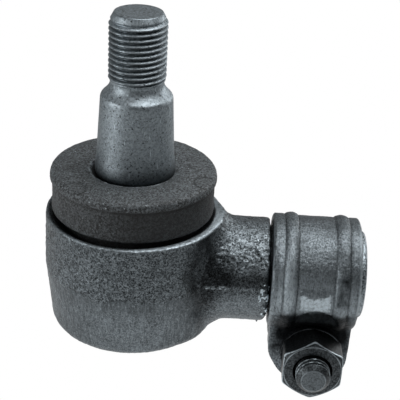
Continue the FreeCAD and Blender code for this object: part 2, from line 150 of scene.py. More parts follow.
def rough(points, size, seed, detail):
    """Smooth random numbers, roughly -1 to 1, one for each point. size is the coarsest grain."""
    offset = Vector((seed * 17.3, seed * 5.1, seed * 9.7))
    return np.array([
        noise.fractal(Vector(point) / size + offset, 0.8, 2.0, detail)
        for point in points
    ])


def eased(corners):
    """An outline whose corners (across, along, rounding) are replaced by short curves. A corner with no
    rounding stays sharp."""
    points = []
    count = len(corners)
    for index, corner in enumerate(corners):
        here = np.array(corner[:2], float)
        if len(corner) == 2 or index in (0, count - 1):
            points.append(here)
            continue
        before = np.array(corners[index - 1][:2], float) - here
        after = np.array(corners[index + 1][:2], float) - here
        start = here + before * min(0.5, corner[2] / np.linalg.norm(before))
        end = here + after * min(0.5, corner[2] / np.linalg.norm(after))
        for share in np.linspace(0, 1, 5):
            points.append((1 - share) ** 2 * start + 2 * share * (1 - share) * here + share**2 * end)
    return points


def closely(points, step):
    """The outline with points added so that none are further apart than step."""
    dense = [np.array(points[0], float)]
    for start, end in zip(points, points[1:]):
        start, end = np.array(start, float), np.array(end, float)
        count = max(1, math.ceil(np.linalg.norm(end - start) / step))
        dense += [start + (end - start) * (index + 1) / count for index in range(count)]
    return np.array(dense)


def finished(name, points, faces, crease):
    """A mesh object made from points in millimetres, smooth except at creases."""
    mesh = bpy.data.meshes.new(name)
    mesh.from_pydata((np.asarray(points, float) * MM).tolist(), [], faces)
    mesh.update()
    mesh.shade_smooth()
    mesh.set_sharp_from_angle(angle=math.radians(crease))
    made = bpy.data.objects.new(name, mesh)
    bpy.context.scene.collection.objects.link(made)
    return made


def turned(name, rows, turns, shape, closed=False):
    """A surface turned about Z through rows of (radius, level), whose points shape then moves.
    A row at radius 0 becomes one point, and closed joins the last row to the first."""
    angles = np.arange(turns) * 2 * math.pi / turns
    radius = np.repeat(rows[:, 0][:, None], turns, 1)
    level = np.repeat(rows[:, 1][:, None], turns, 1)
    angle = np.repeat(angles[None, :], len(rows), 0)
    radius, level = shape(radius, level, angle)
    grid = np.stack([radius * np.cos(angle), radius * np.sin(angle), level], -1)
    return surface(name, grid, closed, 50.0)


def surface(name, grid, rows_closed, crease=40.0):
    """A mesh over rows of points that each go round. A row whose points all coincide becomes one point,
    and rows_closed joins the last row to the first."""
    points, index_of = [], []
    for row in grid:
        if np.ptp(row, axis=0).max() < 1e-6:
            index_of.append([len(points)] * len(row))
            points.append(row[0])
        else:
            index_of.append(list(range(len(points), len(points) + len(row))))
            points.extend(row)
    faces = []
    columns = grid.shape[1]
    row_pairs = list(zip(index_of, index_of[1:]))
    if rows_closed:
        row_pairs.append((index_of[-1], index_of[0]))
    for lower, upper in row_pairs:
        for column in range(columns):
            after = (column + 1) % columns
            corners = [lower[column], lower[after], upper[after], upper[column]]
            face = [corner for place, corner in enumerate(corners) if corner != corners[place - 1]]
            if len(face) > 2:
                faces.append(face)
    return finished(name, points, faces, crease)


def thread_cut(level, angle, depth):
    """How deep a 60 degree thread is cut at a level and an angle. Its crests and roots are a little flat."""
    phase = (level / PITCH - angle / (2 * math.pi)) % 1.0
    flank = np.abs(phase - 0.5) * 2
    return depth * np.clip((0.84 - flank) / 0.72, 0, 1)


def recast(name, node, voxel):
    """A copy of a CAD node's shape as an even, fine mesh, still in millimetres."""
    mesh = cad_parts[node].data.copy()
    mesh.transform(Matrix.Scale(1 / MM, 4))
    rough_cast = bpy.data.objects.new(name + "_blank", mesh)
    bpy.context.scene.collection.objects.link(rough_cast)
    weld = rough_cast.modifiers.new("weld", "WELD")
    weld.merge_threshold = 0.001
    remesh = rough_cast.modifiers.new("remesh", "REMESH")
    remesh.mode = "VOXEL"
    remesh.voxel_size = voxel
    remesh.adaptivity = 0
    depsgraph = bpy.context.evaluated_depsgraph_get()
    even = bpy.data.meshes.new_from_object(rough_cast.evaluated_get(depsgraph))
    bpy.data.objects.remove(rough_cast)
    even.materials.clear()
    made = bpy.data.objects.new(name, even)
    bpy.context.scene.collection.objects.link(made)
    return made


def per_point(made, kind):
    """A row for each point of a mesh: its place, in the mesh's own unit, or its outward direction."""
    flat = np.zeros(len(made.data.vertices) * 3)
    made.data.vertices.foreach_get(kind, flat)
    return flat.reshape(-1, 3)


def settle(made, points, crease=35.0):
    """Writes back points in millimetres as metres, and smooths the shading."""
    made.data.vertices.foreach_set("co", (points * MM).ravel())
    made.data.update()
    made.data.shade_smooth()
    made.data.set_sharp_from_angle(angle=math.radians(crease))


def paint(made, name, values):
    """Keeps one number for each point of the mesh, for its material."""
    attribute = made.data.attributes.new(name, "FLOAT", "POINT")
    attribute.data.foreach_set("value", np.asarray(values, np.float32))


# ---------------------------------------------------------------- material tools


class Nodes:
    """A short way to write a material's nodes. Sizes are in millimetres, and places are the object's own."""

    def __init__(self, name):
        self.material = bpy.data.materials.new(name)
        self.material.use_nodes = True
        self.tree = self.material.node_tree
        self.shader = self.tree.nodes["Principled BSDF"]
        self.place = self.tree.nodes.new("ShaderNodeTexCoord").outputs["Object"]

    def put(self, socket, value):
        """Sets a socket's number or colour, or links another node's output to it."""
        if hasattr(value, "is_output"):
            self.tree.links.new(value, socket)
        else:
            socket.default_value = value

    def noise(self, size_mm, detail, roughness, place=None):
        node = self.tree.nodes.new("ShaderNodeTexNoise")
        self.put(node.inputs["Vector"], place or self.place)
        self.put(node.inputs["Scale"], 1 / (size_mm * MM))
        self.put(node.inputs["Detail"], detail)
        self.put(node.inputs["Roughness"], roughness)
        return node.outputs["Fac"]

    def cells(self, size_mm):
        """Distance to the nearest of some scattered points."""
        node = self.tree.nodes.new("ShaderNodeTexVoronoi")
        self.put(node.inputs["Vector"], self.place)
        self.put(node.inputs["Scale"], 1 / (size_mm * MM))
        return node.outputs["Distance"]

    def stretched(self, x, y, z):
        """A place for noise that is drawn out along an axis whose number is under 1."""
        node = self.tree.nodes.new("ShaderNodeMapping")
        self.put(node.inputs["Vector"], self.place)
        self.put(node.inputs["Scale"], (x, y, z))
        return node.outputs["Vector"]

    def attribute(self, name):
        """The numbers that paint() kept on the mesh."""
        node = self.tree.nodes.new("ShaderNodeAttribute")
        node.attribute_name = name
        return node.outputs["Fac"]

    def math(self, kind, first, second):
        node = self.tree.nodes.new("ShaderNodeMath")
        node.operation = kind
        self.put(node.inputs[0], first)
        self.put(node.inputs[1], second)
        return node.outputs[0]

    def threads(self, size_mm, width):
        """1 along thin wandering lines."""
        off = self.math("ABSOLUTE", self.math("SUBTRACT", self.noise(size_mm, 3, 0.6), 0.5), 0.0)
        return self.span(off, width * 0.3, width, 1.0, 0.0)

    def span(self, value, low, high, to_low=0.0, to_high=1.0):
        """Goes smoothly from to_low to to_high as the value goes from low to high."""
        node = self.tree.nodes.new("ShaderNodeMapRange")
        node.interpolation_type = "SMOOTHSTEP"
        self.put(node.inputs["Value"], value)
        self.put(node.inputs["From Min"], low)
        self.put(node.inputs["From Max"], high)
        self.put(node.inputs["To Min"], to_low)
        self.put(node.inputs["To Max"], to_high)
        return node.outputs["Result"]

    def mix(self, factor, first, second, blend="MIX"):
        node = self.tree.nodes.new("ShaderNodeMix")
        node.data_type = "RGBA"
        node.blend_type = blend
        self.put(node.inputs["Factor"], factor)
        self.put(node.inputs[6], first)
        self.put(node.inputs[7], second)
        return node.outputs[2]

    def bump(self, height, distance_mm, strength, under=None):
        """A bump of the given height, on top of another bump if one is given."""
        node = self.tree.nodes.new("ShaderNodeBump")
        self.put(node.inputs["Height"], height)
        self.put(node.inputs["Distance"], distance_mm * MM)
        self.put(node.inputs["Strength"], strength)
        if under is not None:
            self.put(node.inputs["Normal"], under)
        return node.outputs["Normal"]

    def surface(self, colour, roughness, metallic, normal):
        self.put(self.shader.inputs["Base Color"], colour)
        self.put(self.shader.inputs["Roughness"], roughness)
        self.put(self.shader.inputs["Metallic"], metallic)
        self.put(self.shader.inputs["Normal"], normal)
        return self.material


def grey(level):
    """A near-neutral colour, slightly blue."""
    return (level * 0.87, level, level * 1.08, 1.0)


def forged_steel():
    """Shot-blasted forging: dark and sharply grained, drawn into upright streaks below its seam, where it is
    also painted lighter for light bounced up from the floor.
    """
    n = Nodes("forged_steel")
    grain = n.noise(0.5, 4, 0.85)
    streaks = n.noise(0.6, 4, 0.8, n.stretched(1.0, 1.0, 0.16))
    drawn_and_lit = n.attribute("drawn_and_lit")
    texture = n.mix(n.math("MULTIPLY", drawn_and_lit, 0.55), n.span(grain, 0.42, 0.61), n.span(streaks, 0.44, 0.59))
    colour = n.mix(texture, grey(0.018), grey(0.24))
    # The area below the seam and the neck's lower half are painted lighter: partly the finer drawn surface,
    # partly painted light bounced up from the floor.
    colour = n.mix(n.math("MULTIPLY", drawn_and_lit, 0.30), colour, grey(0.24))
    colour = n.mix(n.span(n.noise(6.0, 4, 0.7), 0.42, 0.60, 0.0, 0.40), colour, grey(0.065))
    gnarled = n.math("SUBTRACT", 1.0, drawn_and_lit)
    veins = n.math("MULTIPLY", n.threads(2.2, 0.030), n.math("MULTIPLY", gnarled, 0.40))
    colour = n.mix(veins, colour, grey(0.40))
    flecks = n.span(n.noise(0.6, 2, 0.5), 0.62, 0.70, 0.0, 0.45)
    colour = n.mix(flecks, colour, grey(0.42))
    # Painted shade, with some scale where bowl and neck meet, darkens the colour, a little less on the
    # grain's high points.
    shade = n.math("MULTIPLY", n.attribute("dirt_and_painted_shade"), n.span(grain, 0.46, 0.66, 1.0, 0.78))
    colour = n.mix(shade, colour, grey(0.02), "MULTIPLY")
    rubbed = n.math("MAXIMUM", n.threads(1.3, 0.045), n.span(n.noise(0.5, 3, 0.75), 0.46, 0.64))
    # Rubbed and bare metal, with painted highlights on the pitted patch and painted light on the lower
    # front, where the rubbing pattern allows.
    wear_and_painted_light = n.math("MULTIPLY", n.attribute("wear_and_painted_light"), rubbed)
    colour = n.mix(wear_and_painted_light, colour, grey(0.48))
    bright = n.span(n.attribute("bright"), 0.35, 0.65)
    colour = n.mix(bright, colour, grey(0.80))
    # The machined land round the bowl's mouth: bare metal, with a painted highlight at the front right.
    colour = n.mix(n.attribute("land"), colour, grey(0.68))
    roughness = n.math("SUBTRACT", n.span(grain, 0.3, 0.7, 0.52, 0.40), n.math("MULTIPLY", wear_and_painted_light, 0.14))
    fine = n.bump(n.noise(0.45, 3, 0.7), 0.16, 1.0)
    normal = n.bump(n.cells(1.0), 0.16, 0.8, fine)
    return n.surface(colour, roughness, 0.9, normal)


def clamp_steel():
    """The collar's smoother forging, scratched round its beads, with painted highlights and painted shade.
    """
    n = Nodes("clamp_steel")
    grain = n.noise(0.55, 4, 0.75)
    scratches = n.noise(0.45, 4, 0.8, n.stretched(1.5, 0.35, 0.35))
    colour = n.mix(n.span(grain, 0.42, 0.60), grey(0.075), grey(0.23))
    colour = n.mix(n.span(scratches, 0.50, 0.64, 0.0, 0.6), colour, grey(0.30))
    colour = n.mix(n.span(n.noise(5.0, 4, 0.65), 0.45, 0.66, 0.0, 0.5), colour, grey(0.085))
    # Painted highlights on the beads and edges, a painted band of light across the front, and bright dents.
    wear_and_painted_light = n.math("MULTIPLY", n.attribute("wear_and_painted_light"), n.span(scratches, 0.30, 0.55))
    colour = n.mix(wear_and_painted_light, colour, grey(0.42))
    bright = n.math("MULTIPLY", n.attribute("bright"), n.span(n.noise(0.9, 4, 0.8), 0.36, 0.58, 0.30, 1.0))
    colour = n.mix(bright, colour, grey(0.62))
    # Painted shade, with a smear of scale.
    colour = n.mix(n.attribute("dirt_and_painted_shade"), colour, grey(0.04), "MULTIPLY")
    roughness = n.span(scratches, 0.3, 0.7, 0.52, 0.38)
    fine = n.bump(scratches, 0.10, 0.9)
    normal = n.bump(n.noise(0.8, 4, 0.65), 0.20, 1.0, fine)
    return n.surface(colour, roughness, 0.9, normal)


def turned_steel():
    """The stud: turned, lightly pitted and scratched."""
    n = Nodes("turned_steel")
    grain = n.noise(0.6, 4, 0.8)
    rings = n.noise(0.30, 2, 0.5, n.stretched(0.1, 0.1, 1.6))
    pits = n.span(n.noise(0.7, 3, 0.65), 0.59, 0.66)
    scratches = n.span(n.noise(0.6, 2, 0.5, n.stretched(1.3, 1.3, 0.14)), 0.67, 0.72)
    colour = n.mix(n.span(grain, 0.40, 0.60), grey(0.23), grey(0.43))
    colour = n.mix(n.span(rings, 0.35, 0.75, 0.0, 0.25), colour, grey(0.44))
    colour = n.mix(n.span(n.noise(6.0, 4, 0.65), 0.44, 0.64, 0.0, 0.20), colour, grey(0.20))
    colour = n.mix(n.math("MULTIPLY", pits, 0.9), colour, grey(0.03))
    colour = n.mix(n.math("MULTIPLY", scratches, 0.7), colour, grey(0.8))
    # Painted shade at the thread's roots, the foot and the top end.
    colour = n.mix(n.attribute("dirt_and_painted_shade"), colour, grey(0.06), "MULTIPLY")
    roughness = n.span(grain, 0.3, 0.7, 0.45, 0.52)
    fine = n.bump(rings, 0.03, 0.6)
    normal = n.bump(n.noise(0.55, 3, 0.7), 0.035, 0.9, fine)
    return n.surface(colour, roughness, 0.95, normal)


def blackened_steel():
    """The bolt, nut and washer: black oxide, rubbed bright along the edges, with a painted highlight on the
    washer's upper edge and painted shade on the nut's sides, in the threads and on the washer.
    """
    n = Nodes("blackened_steel")
    grain = n.noise(0.5, 4, 0.75)
    colour = n.mix(n.span(grain, 0.38, 0.64), grey(0.018), grey(0.10))
    # Rubbed edges, and a painted highlight on the washer's upper edge.
    edge = n.math("MULTIPLY", n.attribute("edge"), n.span(n.noise(0.9, 3, 0.6), 0.25, 0.50, 0.25, 1.0))
    colour = n.mix(edge, colour, grey(0.65))
    # Painted shade: the nut's sides, inside the nut, the bolt's thread roots and the washer.
    colour = n.mix(n.attribute("dirt_and_painted_shade"), colour, grey(0.05), "MULTIPLY")
    roughness = n.span(grain, 0.2, 0.8, 0.5, 0.36)
    normal = n.bump(n.noise(0.5, 4, 0.7), 0.07, 0.9)
    return n.surface(colour, roughness, 0.85, normal)


def moulded_rubber():
    """Matt black rubber, dusty, with a fine grain and a few pale specks."""
    n = Nodes("moulded_rubber")
    grain = n.noise(0.65, 4, 0.85)
    specks = n.span(n.noise(0.55, 2, 0.5), 0.675, 0.74, 0.0, 0.8)
    colour = n.mix(n.span(grain, 0.44, 0.58), grey(0.004), grey(0.128))
    colour = n.mix(n.span(n.noise(4.0, 5, 0.75), 0.46, 0.62, 0.0, 0.45), colour, grey(0.03))
    colour = n.mix(n.span(n.noise(3.0, 5, 0.75), 0.52, 0.66, 0.0, 0.35), colour, grey(0.16))
    colour = n.mix(specks, colour, grey(0.42))
    rubbed = n.math("MULTIPLY", n.attribute("rubbed"), n.span(n.noise(0.9, 3, 0.7), 0.42, 0.62))
    colour = n.mix(rubbed, colour, grey(0.40))
    # Painted shade on the boot's side, under its brim and on hidden parts, with the mould marks darkened.
    colour = n.mix(n.attribute("dirt_and_painted_shade"), colour, grey(0.08), "MULTIPLY")
    roughness = n.span(grain, 0.2, 0.8, 0.70, 0.56)
    normal = n.bump(grain, 0.20, 1.0)
    return n.surface(colour, roughness, 0.0, normal)


def bearing_steel():
    """Ground steel with a thin film of grease."""
    n = Nodes("bearing_steel")
    grain = n.noise(0.8, 3, 0.6)
    colour = n.mix(n.span(grain, 0.3, 0.7), grey(0.34), grey(0.46))
    roughness = n.span(n.noise(3.0, 3, 0.5), 0.3, 0.7, 0.22, 0.38)
    return n.surface(colour, roughness, 1.0, n.bump(grain, 0.01, 0.5))


def spring_steel():
    """Tempered steel for the disc spring and the boot's two rings."""
    n = Nodes("spring_steel")
    grain = n.noise(0.7, 3, 0.6)
    colour = n.mix(n.span(grain, 0.3, 0.7), grey(0.16), grey(0.26))
    return n.surface(colour, n.span(grain, 0.2, 0.8, 0.35, 0.5), 1.0, n.bump(grain, 0.02, 0.6))


def pressed_plate():
    """The closing plate: rolled sheet, dished, with faint rolling lines."""
    n = Nodes("pressed_plate")
    lines = n.noise(0.4, 3, 0.6, n.stretched(0.12, 1.5, 1.0))
    grain = n.noise(0.9, 4, 0.6)
    colour = n.mix(n.span(lines, 0.3, 0.7), grey(0.20), grey(0.30))
    colour = n.mix(n.span(grain, 0.55, 0.75, 0.0, 0.6), colour, grey(0.10))
    return n.surface(colour, n.span(grain, 0.2, 0.8, 0.4, 0.55), 0.95, n.bump(lines, 0.03, 0.6))


def seal_rubber():
    """Smooth black rubber, out of sight above the closing plate."""
    n = Nodes("seal_rubber")
    grain = n.noise(0.4, 4, 0.6)
    colour = n.mix(n.span(grain, 0.3, 0.7), grey(0.02), grey(0.04))
    return n.surface(colour, n.span(grain, 0.2, 0.8, 0.55, 0.7), 0.0, n.bump(grain, 0.03, 0.6))


# ---------------------------------------------------------------- the pieces


def around(x, y, centre_deg, half_deg, blur_deg):
    """1 within half_deg of a direction about Z, fading to 0 over blur_deg."""
    off = np.abs((np.degrees(np.arctan2(y, x)) - centre_deg + 180) % 360 - 180)
    return 1 - smooth_step(off, half_deg, half_deg + blur_deg)


def gouge(x, z, start, end, width):
    """1 along a straight scratch between two (x, z) points, fading to 0 over its width."""
    start, end = np.array(start), np.array(end)
    along = end - start
    place = np.stack([x, z], -1) - start
    share = np.clip(place @ along / (along @ along), 0, 1)
    away = np.linalg.norm(place - share[:, None] * along, axis=1)
    return 1 - smooth_step(away, 0.2 * width, width)


class HousingSkin:
    """Where each kind of surface on the housing lies, from 0 to 1, and the noise that breaks it up."""

    def __init__(self, points):
        self.x, self.y, self.z = x, y, z = points.T
        self.from_axis, self.from_neck = np.hypot(x, y), np.hypot(y, z)
        self.front = smooth_step(-y, 0.0, 3.0)
        self.in_bowl = self.from_axis < BOWL_RADIUS + 0.3
        self.on_neck = ~self.in_bowl & (self.from_neck > 14.2) & (x < NECK_END + 0.1)
        self.forged = self.on_neck | (self.in_bowl & (self.from_axis > np.where(z < 0, 21.0, 24.3)))
        self.neck_front = self.front * self.on_neck
        self.coarse, self.grain = rough(points, 2.6, 1, 2), rough(points, 0.9, 2, 2)
        self.gnarl, self.jags = rough(points, 1.25, 3, 3), rough(points * (1.5, 1.0, 0.6), 1.0, 4, 2)
        self.drift = rough(points, 6.0, 5, 2)
        self.seam = PARTING_LEVEL + 0.9 * self.drift + 0.35 * self.gnarl
        self.drawn_and_lit = (1 - smooth_step(z, self.seam - 1.2, self.seam)) * self.in_bowl
        self.pitted = band(x, 26.0, 39.0, 3.0) * band(z + 1.5 * self.drift, 7.5, 12.6, 2.6) * self.neck_front
        self.below_band = band(x, 27.0, 38.0, 3.0) * band(z, -15.0, -1.5, 2.0) * self.neck_front
        self.flash = self.flash_line()
        self.burr = self.collar_side_burr()
        self.flakes = np.clip(self.jags * 1.9, 0, 1)
        self.cut = gouge(x, z, (35.2, 11.6), (38.9, 8.0), 0.45) * self.neck_front
        self.lip = gouge(x, z, (35.8, 12.0), (39.3, 8.6), 0.35) * self.neck_front

    def flash_line(self):
        """The thin broken fin that the dies left along the parting level, from the bowl to the neck."""
        ragged = np.clip(0.55 + 1.1 * self.jags, 0, 1)
        stretch = band(self.x, 22.5, 27.0, 1.6) + 0.35 * band(self.x, 27.0, 35.0, 2.0)
        height = band(self.z - 0.25 * self.grain, 1.25, 1.75, 0.3)
        return stretch * self.front * self.forged * height * ragged

    def collar_side_burr(self):
        """Crumbs of metal at the neck's end, and a few more a little further from the collar."""
        at_end = band(self.x, NECK_END - 1.2, NECK_END - 0.1, 0.5) * band(self.z, -8.0, 3.2, 1.2)
        behind = band(self.x, NECK_END - 2.6, NECK_END - 1.7, 0.4) * band(self.z, -2.0, 1.6, 0.8)
        return (at_end + behind) * self.front * (self.from_neck > 14.0)

    def lift(self):
        """How far the skin stands out from the CAD shape."""
        below_land = 1 - smooth_step(self.z, RIM_LEVEL - 0.8, RIM_LEVEL - 0.2) * self.in_bowl
        skin = self.forged * below_land
        lift = skin * (0.06 * self.coarse + 0.07 * self.grain)
        lift += skin * self.pitted * (0.26 * self.gnarl - 0.06)
        lift += skin * self.in_bowl * (0.11 * self.gnarl + 0.06) * (1 - self.drawn_and_lit)
        lift -= skin * self.in_bowl * 0.14 * band(self.z - self.seam, -0.5, 0.0, 0.3) * (self.drift > -0.2)
        lift += 0.30 * self.flash
        lift += 0.5 * self.burr * self.flakes
        spike = band(self.x, NECK_END - 1.9, NECK_END - 1.3, 0.35) * band(self.z, -15.6, -14.2, 0.5)
        lift += 0.9 * spike * self.front
        lift += 0.22 * self.lip - 0.35 * self.cut
        lower_right = band(self.x, 20.0, 23.0, 6.0) * band(self.z, -15.0, -11.0, 6.0)
        lift += 0.75 * lower_right * smooth_step(-self.y, -2.0, 6.0) * self.forged
        return lift

    def shift(self):
        """How far the skin is moved along X, where the photo's outline differs a little from the CAD's."""
        left_side = smooth_step(-self.x, 4.0, 20.0) * (self.from_axis > 21.0)
        neck_foot = smooth_step(-self.z, 9.0, 14.0) * smooth_step(self.x, NECK_END - 3.0, NECK_END - 0.3)
        return 0.35 * left_side - 0.7 * neck_foot * self.on_neck

    def bright(self):
        """Bare metal: the burr's flakes and the tube's end."""
        end_face = smooth_step(self.x, TUBE_END - 0.7, TUBE_END - 0.3) * (self.from_neck < 12.9)
        return np.clip(self.burr * (self.flakes > 0.32) + end_face * 0.45, 0, 1)

    def wear_and_painted_light(self):
        """Crests on the pitted patch, partly rubbed and partly painted highlights; the flash fin and the
        gouge's raised lip; painted light on the bowl's lower front and the neck's lower half, for light
        bounced up from the floor; and the bare stretch of the tube past the collar.
        """
        # Painted light: the bowl's lower front and the neck's lower half, as if lit from the floor below.
        low_front = around(self.x, self.y, -86, 16, 22) * band(self.z, -14.0, -5.0, 4.0) * self.in_bowl
        crests = np.clip(0.35 + self.gnarl * 1.5, 0, 1)
        wear_and_painted_light = 0.52 * self.pitted * crests + 1.5 * self.flash
        wear_and_painted_light += 0.25 * low_front + 0.18 * self.below_band + 0.6 * self.lip
        bare_tube = smooth_step(self.x, TUBE_END - 1.9, TUBE_END - 1.5) * (self.from_neck > 12.0)
        return np.clip(wear_and_painted_light * self.forged + 0.9 * bare_tube, 0, 1)

    def streaked_and_lit(self):
        """Where the grain is drawn out, under the seam and along the neck's lower half; the material also
        paints these places lighter, for light bounced up from the floor.
        """
        return np.clip(self.drawn_and_lit + 0.6 * self.below_band, 0, 1) * self.forged

    def land(self):
        """The bright machined edge round the bowl's mouth, widest and brightest at the front right; the
        brightness that changes round it is a painted highlight.
        """
        on_land = smooth_step(self.z, RIM_LEVEL - 0.6, RIM_LEVEL - 0.2) * self.in_bowl
        neck_side = around(self.x, self.y, -22, 48, 26)
        inner_edge = RIM_RADIUS - 0.55 - 1.3 * neck_side
        land = on_land * smooth_step(self.from_axis, inner_edge - 0.2, inner_edge + 0.1)
        amount = 0.12 + 0.20 * around(self.x, self.y, -95, 20, 40)
        amount += 0.5 * around(self.x, self.y, -45, 30, 25) + 0.12 * neck_side
        return np.clip(land * amount * (0.85 + 0.5 * self.grain), 0, 1)

    def dirt_and_painted_shade(self):
        """Painted shade, with some scale: where bowl and neck meet (a painted shadow, partly oxide), a band
        above the seam on the neck's front, a shadow line along the seam, inside, in the bore, in the
        scratch, and at the neck's far end."""
        corner = np.hypot(self.x - 21.5, self.y + 15.5) + 0.35 * np.abs(self.z - 7.0)
        shade = (1 - smooth_step(corner + 2.5 * self.drift, 2.5, 11.5)) * (self.z < 16.8) * self.forged
        shade *= 1 - 0.45 * self.in_bowl * (1 - smooth_step(corner, 3.0, 5.0))
        above_seam = band(self.z + 0.8 * self.drift, 2.6, 4.4, 2.2)
        shade += 0.7 * band(self.x, 22.0, 40.0, 3.0) * above_seam * self.neck_front
        at_seam = band(self.z - self.seam, -0.1, 0.15, 0.3) * smooth_step(self.drift, -0.3, 0.3)
        shade += 0.75 * at_seam * self.in_bowl * self.front
        shade = np.clip(shade, 0, 1) * (1 - np.clip(self.flash * 1.5, 0, 1))
        inside = (self.from_axis < 23.6) & (self.z > -15) & (self.x < 24)
        bored = (self.from_neck < 11.5) & (self.x > 30)
        end_ring = band(self.x, NECK_END - 0.7, NECK_END + 2.5, 0.3) * (self.from_neck < 14.4)
        return np.clip(0.9 * (shade + inside + end_ring) + 0.8 * (bored + self.cut), 0, 1)


def housing_piece(material):
    """The forged housing: an even mesh of the CAD shape, then grain, wear, flash and burrs, with painted
    light and shade.
    """
    made = recast("housing_forging", "housing", HOUSING_VOXEL)
    points, normals = per_point(made, "co"), per_point(made, "normal")
    skin = HousingSkin(points)
    paint(made, "bright", skin.bright())
    paint(made, "wear_and_painted_light", skin.wear_and_painted_light())
    paint(made, "drawn_and_lit", skin.streaked_and_lit())
    paint(made, "land", skin.land())
    paint(made, "dirt_and_painted_shade", skin.dirt_and_painted_shade())
    points = points + normals * skin.lift()[:, None]
    points[:, 0] += skin.shift()
    settle(made, points)
    made.data.materials.append(material)
    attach(made, "housing")
    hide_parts("housing")


def stud_outline():
    """Rows of (radius, level) up the stud: ball, neck, the foot's bulge, taper, groove, thread and end."""
    ball = [
        (BALL_RADIUS * math.cos(angle), BALL_RADIUS * math.sin(angle))
        for angle in np.linspace(-math.pi / 2, BALL_TOP_ANGLE, 40)
    ]
    neck = [(8.5, 10.49), (8.5, 23.5), (9.3, 25.0)]
    foot_bulge = [(9.3, 27.9), (11.45, 29.5, 2.0), (11.2, 33.0, 2.0), (10.91, 35.0)]
    taper_top = (10.11, 51.0)
    shoulder = [(10.06, 52.0, 0.4), (9.78, 52.75, 0.45), (8.9, 53.55, 0.6), (7.95, 54.7, 0.8)]
    groove = [(7.45, 55.8, 0.8), (7.4, 56.8, 0.3)]
    thread = [(7.95, THREAD_START, 0.1), (8.0, THREAD_END, 0.3)]
    end = [(6.6, STUD_END - 0.1, 0.3), (0.0, STUD_END)]
    lower = closely(eased(ball + neck + foot_bulge + [taper_top]), 0.5)
    upper = closely(eased([taper_top] + shoulder + groove + thread + end), 0.135)
    return np.concatenate([lower[:-1], upper])


def stud_piece(material):
    """The ball stud, with a real helical thread."""

    def threaded(radius, level, angle):
        run = smooth_step(level, THREAD_START - 0.5, THREAD_START + 0.5)
        run = run * (1 - smooth_step(level, THREAD_END + 0.2, THREAD_END + 1.4))
        cut = thread_cut(level, angle, THREAD_DEPTH) * run
        on_thread = (level > THREAD_START - 0.6) & (level < THREAD_END + 1.5) & (radius > 7.15)
        return np.where(on_thread, np.maximum(radius - cut, 7.1), radius), level

    made = turned("ball_stud_forging", stud_outline(), 220, threaded)
    points = per_point(made, "co") / MM
    radius, level = np.hypot(points[:, 0], points[:, 1]), points[:, 2]
    # Painted shade: darker in the thread's roots, on the foot down in the boot's mouth, and at the top end.
    root = np.clip((7.85 - radius) / 0.45, 0, 1) * band(level, THREAD_START, THREAD_END - 0.4, 0.3)
    foot = 1 - smooth_step(level, 30.0, 36.0)
    top = smooth_step(level, STUD_END - 0.7, STUD_END - 0.2)
    paint(made, "dirt_and_painted_shade", np.clip(0.6 * root + 0.85 * foot + 0.3 * top, 0, 1))
    made.data.materials.append(material)
    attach(made, "stud")
    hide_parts("ball_stud")


def boot_outline():
    """The boot's closed section as rows of (radius, level), from its base up the outside and back."""
    base = [(17.6, 12.5), (20.2, 12.5, 0.3), (20.2, 17.9, 0.3)]
    side = [(23.15, 18.6, 0.5), (22.95, 23.0, 1.5), (23.1, 27.75, 0.15)]
    brim = [(23.6, 28.1, 0.1), (23.55, 29.5, 0.8), (22.8, 30.45, 0.8)]
    top = [(18.0, 30.75, 2.0), (14.5, 30.7, 1.0)]
    mouth = [(12.1, 30.2, 0.2), (11.75, 29.9, 0.15), (11.6, 28.9, 0.4), (9.5, 27.75, 0.2), (9.4, 27.2, 0.2)]
    inside = [(17.6, 27.25, 0.8), (19.9, 25.4, 0.8), (19.85, 20.0, 0.8), (17.6, 17.9, 0.5), (17.6, 12.6)]
    return closely(eased(base + side + brim + top + mouth + inside), 0.4)


def mould_marks(radius, level, angle):
    """1 along two faint circles on the boot's top, one at the left and one at the right."""
    marks = 0.0
    for heading in (-2.33, -0.35):
        across = (angle - heading + math.pi) % (2 * math.pi) - math.pi
        away = np.hypot(radius * across, radius - 22.0)
        marks = marks + np.exp(-(((away - 3.4) / 0.32) ** 2)) * (level > 29.7) * (radius < 23.0)
    return marks


def boot_piece(material):
    """The dust boot: thick moulded rubber, with a sharp crease under its brim."""

    def marked(radius, level, angle):
        return radius, level - 0.25 * mould_marks(radius, level, angle)

    made = turned("dust_boot_rubber", boot_outline(), 320, marked, True)
    points, normals = per_point(made, "co") / MM, per_point(made, "normal")
    x, y, level = points.T.copy()
    radius = np.hypot(x, y)
    on_lip = band(radius, 11.8, 12.5, 0.2) * (level > 29.5) * around(x, y, -125, 70, 30)
    paint(made, "rubbed", on_lip * 0.8)
    # Painted shade: the hidden base and mouth, the side under the brim, darkest at the front right, and a
    # band under the crease; the mould marks are darkened too.
    hidden = (level < 18.4) | (radius < 11.7)
    side = smooth_step(28.15 - level, 0, 0.15) * (radius > 20.5)
    shaded = side * (0.36 + 0.46 * around(x, y, -50, 28, 36))
    shaded += 0.35 * band(level, 27.0, 28.0, 0.12) * (radius > 22.4)
    marks = mould_marks(radius, level, np.arctan2(y, x))
    paint(made, "dirt_and_painted_shade", np.clip(hidden * 0.9 + shaded + 0.95 * marks, 0, 1))
    by_mouth = (1 - smooth_step(radius, 13.0, 18.0)) * smooth_step(level, 29.0, 29.8)
    points[:, 0] -= 0.25 * smooth_step(radius, 12.5, 20.5) + 0.55 * by_mouth
    points[:, 1] -= 0.15 * by_mouth
    points += normals * (0.07 * rough(points, 3.0, 11, 2) + 0.03 * rough(points, 0.8, 12, 2))[:, None]
    settle(made, points, 50.0)
    made.data.materials.append(material)
    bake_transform(made)
    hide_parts("dust_boot")


